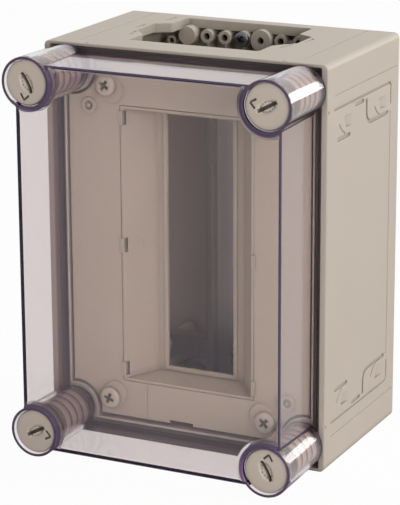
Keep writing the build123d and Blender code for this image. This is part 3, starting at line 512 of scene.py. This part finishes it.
def screw_tree():
    """Node group: a pan-head screw with a cross recess and a thread on every point of a mesh."""
    tree = bpy.data.node_groups.new("pan_head_screw", "GeometryNodeTree")
    keys = {"Geometry": tree_input(tree, "Geometry", "NodeSocketGeometry")}
    for name in ("Head Size", "Recess Size"):
        keys[name] = tree_input(tree, name, "NodeSocketVector")
    for name in ("Root Radius", "Shank Length", "Thread Radius", "Thread Pitch"):
        keys[name] = tree_input(tree, name, "NodeSocketFloat")
    keys["Material"] = tree_input(tree, "Material", "NodeSocketMaterial")
    tree.interface.new_socket("Geometry", in_out="OUTPUT", socket_type="NodeSocketGeometry")
    given = add(tree, "NodeGroupInput").outputs
    place = add(tree, "GeometryNodeInputPosition").outputs["Position"]
    height = add(tree, "ShaderNodeSeparateXYZ", links={"Vector": place}).outputs["Z"]

    # Head: a ball pressed to a flat-topped pan with a round rim and a flat underside
    ball = add(tree, "GeometryNodeMeshUVSphere",
               inputs={"Segments": 48, "Rings": 24, "Radius": 1.0})
    level = add(tree, "ShaderNodeVectorMath", {"operation": "MULTIPLY"}, {1: (1, 1, 0)},
                {0: place})
    reach = add(tree, "ShaderNodeVectorMath", {"operation": "LENGTH"},
                links={0: level.outputs["Vector"]})
    inner = add(tree, "ShaderNodeMath", {"operation": "MAXIMUM"}, {1: NOT_ZERO},
                {0: reach.outputs["Value"]})
    widen = add(tree, "ShaderNodeMath", {"operation": "POWER"}, {1: RIM_POWER},
                {0: inner.outputs["Value"]})
    wide = add(tree, "ShaderNodeVectorMath", {"operation": "SCALE"},
               links={0: level.outputs["Vector"], "Scale": widen.outputs["Value"]})
    upper = add(tree, "ShaderNodeMath", {"operation": "MAXIMUM"}, {1: 0.0}, {0: height})
    crown = add(tree, "ShaderNodeMath", {"operation": "POWER"}, {1: CROWN_POWER},
                {0: upper.outputs["Value"]})
    lift = add(tree, "ShaderNodeCombineXYZ", links={"Z": crown.outputs["Value"]})
    pan = add(tree, "ShaderNodeVectorMath", {"operation": "ADD"},
              links={0: wide.outputs["Vector"], 1: lift.outputs["Vector"]})
    sized = add(tree, "ShaderNodeVectorMath", {"operation": "MULTIPLY"},
                links={0: pan.outputs["Vector"], 1: given["Head Size"]})
    head = add(tree, "GeometryNodeSetPosition",
               links={"Geometry": ball.outputs["Mesh"], "Position": sized.outputs["Vector"]})

    # Recess: two crossed arms that narrow towards their floor
    block = add(tree, "GeometryNodeMeshCube", inputs={"Size": (1.0, 1.0, 1.0)})
    taper = add(tree, "ShaderNodeMath", {"operation": "MULTIPLY_ADD"},
                {1: 1 - FLOOR_SIZE, 2: (1 + FLOOR_SIZE) / 2}, {0: height})
    narrow = add(tree, "ShaderNodeCombineXYZ", inputs={"Z": 1.0},
                 links={"X": taper.outputs["Value"], "Y": taper.outputs["Value"]})
    wedge = add(tree, "ShaderNodeVectorMath", {"operation": "MULTIPLY_ADD"},
                {2: (0, 0, 0.5 + FLOOR_HEIGHT)}, {0: place, 1: narrow.outputs["Vector"]})
    fitted = add(tree, "ShaderNodeVectorMath", {"operation": "MULTIPLY"},
                 links={0: wedge.outputs["Vector"], 1: given["Recess Size"]})
    arm = add(tree, "GeometryNodeSetPosition",
              links={"Geometry": block.outputs["Mesh"], "Position": fitted.outputs["Vector"]})
    crossed = add(tree, "GeometryNodeTransform", inputs={"Rotation": (0, 0, QUARTER_TURN)},
                  links={"Geometry": arm.outputs["Geometry"]})
    cut = add(tree, "GeometryNodeMeshBoolean", {"operation": "DIFFERENCE", "solver": "EXACT"},
              links={"Mesh 1": head.outputs["Geometry"], "Mesh 2": arm.outputs["Geometry"]})
    tree.links.new(crossed.outputs["Geometry"], cut.inputs["Mesh 2"])

    # Shank and its thread, a ridge swept along a helix
    rod = add(tree, "GeometryNodeMeshCylinder", inputs={"Vertices": 32},
              links={"Radius": given["Root Radius"], "Depth": given["Shank Length"]})
    sunk = add(tree, "ShaderNodeVectorMath", {"operation": "SCALE"}, {0: (0, 0, SHANK_MIDDLE)},
               {"Scale": given["Shank Length"]})
    shank = add(tree, "GeometryNodeTransform",
                links={"Geometry": rod.outputs["Mesh"], "Translation": sunk.outputs["Vector"]})
    run = add(tree, "ShaderNodeMath", {"operation": "MULTIPLY"}, {1: THREAD_RUN},
              {0: given["Shank Length"]})
    turns = add(tree, "ShaderNodeMath", {"operation": "DIVIDE"},
                links={0: run.outputs["Value"], 1: given["Thread Pitch"]})
    helix = add(tree, "GeometryNodeCurveSpiral", inputs={"Resolution": 24},
                links={"Rotations": turns.outputs["Value"], "Start Radius": given["Root Radius"],
                       "End Radius": given["Root Radius"], "Height": run.outputs["Value"]})
    ridge = add(tree, "GeometryNodeCurvePrimitiveCircle", inputs={"Resolution": 4},
                links={"Radius": given["Thread Radius"]})
    thread = add(tree, "GeometryNodeCurveToMesh", inputs={"Fill Caps": True},
                 links={"Curve": helix.outputs["Curve"],
                        "Profile Curve": ridge.outputs["Curve"]})
    low = add(tree, "ShaderNodeVectorMath", {"operation": "SCALE"}, {0: (0, 0, THREAD_START)},
              {"Scale": given["Shank Length"]})
    wound = add(tree, "GeometryNodeTransform",
                links={"Geometry": thread.outputs["Mesh"], "Translation": low.outputs["Vector"]})

    # One screw, smooth over its rounded rim and crisp at the recess
    parts = add(tree, "GeometryNodeJoinGeometry")
    for piece in (cut.outputs["Mesh"], shank.outputs["Geometry"], wound.outputs["Geometry"]):
        tree.links.new(piece, parts.inputs["Geometry"])
    bend = add(tree, "GeometryNodeInputMeshEdgeAngle")
    crisp = add(tree, "ShaderNodeMath", {"operation": "GREATER_THAN"}, {1: CRISP_TURN},
                {0: bend.outputs["Unsigned Angle"]})
    screw = add(tree, "GeometryNodeSetShadeSmooth", {"domain": "EDGE"}, {"Shade Smooth": False},
                {"Geometry": parts.outputs["Geometry"], "Selection": crisp.outputs["Value"]})

    # A screw on each seat, facing the front and turned by the seat's own angle
    turn = add(tree, "GeometryNodeInputNamedAttribute", {"data_type": "FLOAT"}, {"Name": "turn"})
    aim = add(tree, "ShaderNodeCombineXYZ", inputs={"X": QUARTER_TURN},
              links={"Y": turn.outputs["Attribute"]})
    spread = add(tree, "GeometryNodeInstanceOnPoints",
                 links={"Points": given["Geometry"], "Instance": screw.outputs["Geometry"],
                        "Rotation": aim.outputs["Vector"]})
    real = add(tree, "GeometryNodeRealizeInstances",
               links={"Geometry": spread.outputs["Instances"]})
    painted = add(tree, "GeometryNodeSetMaterial",
                  links={"Geometry": real.outputs["Geometry"], "Material": given["Material"]})
    add(tree, "NodeGroupOutput", links={"Geometry": painted.outputs["Geometry"]})
    return tree, keys


def make_screws(slots, materials):
    """Replaces each kind of small screw by one piece with heads, recesses and threads."""
    tree, keys = screw_tree()
    for start, (head_r, head_h, shank_r, pitch) in SCREWS.items():
        nodes = [name for name in NODES if name.startswith(start)]
        seats, turns = [], []
        for name in nodes:
            spots = [v.co for v in NODES[name].data.vertices]
            low, high = [[pick(spot[i] for spot in spots) for i in range(3)]
                         for pick in (min, max)]
            seat_y = low[1] + head_h * MM
            seats.append(((low[0] + high[0]) / 2, seat_y, (low[2] + high[2]) / 2))
            corner = name.replace("cover_screw_", "")
            turns.append(math.radians(COVER_SCREW_TURNS.get(corner, OTHER_TURN)))
        piece = mesh_piece(start + "s", seats, [])
        field = piece.data.attributes.new("turn", "FLOAT", "POINT")
        field.data.foreach_set("value", turns)
        makes = piece.modifiers.new("screws", "NODES")
        makes.node_group = tree
        makes[keys["Head Size"]] = (head_r * MM, head_r * MM, head_h * MM)
        makes[keys["Recess Size"]] = (ARM_LENGTH * head_r * MM, ARM_WIDTH * head_r * MM,
                                      head_h * MM)
        makes[keys["Root Radius"]] = ROOT * shank_r * MM
        makes[keys["Thread Radius"]] = RIDGE * shank_r * MM
        makes[keys["Shank Length"]] = high[1] - seat_y
        makes[keys["Thread Pitch"]] = pitch * MM
        makes[keys["Material"]] = materials[slots[nodes[0]]]
        settle(piece)
        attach(piece, source_body(nodes[0]))
        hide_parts(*nodes)


# Stage, light and camera
# Name, place in metres, width in metres and watts
LAMPS = [
    ("key", (1.85, -1.55, 0.6), 0.9, 21.5),
    ("side", (1.7, 0.6, 2.0), 0.6, 20),
    ("top", (0.3, 0.7, 2.1), 0.9, 9),
    ("rear", (1.1, 2.4, 0.55), 0.8, 8),
]
LAMP_TARGET = (0, 0, 0.12)
FLOOR_HALF = 8.0
# Share of plain white in the floor that the camera sees, the rest keeps the shadow
FLOOR_WHITE = 0.97


def mesh_piece(name, vertices, faces):
    """An object with this mesh, in the scene."""
    mesh = bpy.data.meshes.new(name)
    mesh.from_pydata(vertices, [], faces)
    piece = bpy.data.objects.new(name, mesh)
    bpy.context.scene.collection.objects.link(piece)
    return piece


def make_floor():
    """A pale floor that the camera sees as near white and that keeps the shadow."""
    corners = [(-FLOOR_HALF, -FLOOR_HALF, 0), (FLOOR_HALF, -FLOOR_HALF, 0),
               (FLOOR_HALF, FLOOR_HALF, 0), (-FLOOR_HALF, FLOOR_HALF, 0)]
    floor = mesh_piece("floor", corners, [(0, 1, 2, 3)])
    material, tree = new_material("pale_floor")
    path = add(tree, "ShaderNodeLightPath")
    matt = add(tree, "ShaderNodeBsdfDiffuse", inputs={"Color": srgb("#D9D8D6")})
    glow = add(tree, "ShaderNodeEmission", inputs={"Color": WHITE, "Strength": 1.0})
    seen = add(tree, "ShaderNodeMath", {"operation": "MAXIMUM"},
               links={0: path.outputs["Is Camera Ray"], 1: path.outputs["Is Transmission Ray"]})
    share = add(tree, "ShaderNodeMath", {"operation": "MULTIPLY"}, {1: FLOOR_WHITE},
                {0: seen.outputs["Value"]})
    mix = add(tree, "ShaderNodeMixShader",
              links={0: share.outputs["Value"], 1: matt.outputs["BSDF"],
                     2: glow.outputs["Emission"]})
    add(tree, "ShaderNodeOutputMaterial", links={"Surface": mix.outputs["Shader"]})
    floor.data.materials.append(material)


def make_world():
    """Soft grey surroundings that are white to the camera and in gloss and clear plastic."""
    world = bpy.data.worlds.new("studio")
    bpy.context.scene.world = world
    world.use_nodes = True
    tree = world.node_tree
    tree.nodes.clear()
    path = add(tree, "ShaderNodeLightPath")
    clear = add(tree, "ShaderNodeMath", {"operation": "MAXIMUM"},
                links={0: path.outputs["Is Camera Ray"], 1: path.outputs["Is Transmission Ray"]})
    seen = add(tree, "ShaderNodeMath", {"operation": "MAXIMUM"},
               links={0: clear.outputs["Value"], 1: path.outputs["Is Glossy Ray"]})
    soft = add(tree, "ShaderNodeBackground", inputs={"Color": srgb("#C8C6C4"), "Strength": 0.42})
    white = add(tree, "ShaderNodeBackground", inputs={"Color": WHITE, "Strength": 1.0})
    mix = add(tree, "ShaderNodeMixShader",
              links={0: seen.outputs["Value"], 1: soft.outputs["Background"],
                     2: white.outputs["Background"]})
    add(tree, "ShaderNodeOutputWorld", links={"Surface": mix.outputs["Shader"]})


def make_lamps():
    """Square area lamps that face the object."""
    for name, place, size, watts in LAMPS:
        data = bpy.data.lights.new(name, "AREA")
        data.size = size
        data.energy = watts
        lamp = bpy.data.objects.new(name, data)
        lamp.location = place
        facing = Vector(LAMP_TARGET) - Vector(place)
        lamp.rotation_euler = facing.to_track_quat("-Z", "Y").to_euler()
        bpy.context.scene.collection.objects.link(lamp)


def make_camera():
    """The photograph's camera."""
    forward = Vector((-math.sin(CAMERA_YAW) * math.cos(CAMERA_PITCH),
                      math.cos(CAMERA_YAW) * math.cos(CAMERA_PITCH),
                      -math.sin(CAMERA_PITCH)))
    level = Vector((math.cos(CAMERA_YAW), math.sin(CAMERA_YAW), 0))
    upright = level.cross(forward)
    right = math.cos(CAMERA_ROLL) * level + math.sin(CAMERA_ROLL) * upright
    up = -math.sin(CAMERA_ROLL) * level + math.cos(CAMERA_ROLL) * upright
    data = bpy.data.cameras.new("camera")
    data.sensor_width = SENSOR_MM
    data.lens = FOCAL_PIXELS * SENSOR_MM / LONG_SIDE_PIXELS
    camera = bpy.data.objects.new("camera", data)
    turn = Matrix((right, up, -forward)).transposed()
    camera.matrix_world = Matrix.Translation(CAMERA_PLACE) @ turn.to_4x4()
    bpy.context.scene.collection.objects.link(camera)
    bpy.context.scene.camera = camera


materials = make_materials()
slots = paint_nodes(materials)
round_all()
make_screws(slots, materials)
make_floor()
make_world()
make_lamps()
make_camera()
bpy.context.scene.view_settings.view_transform = "Standard"
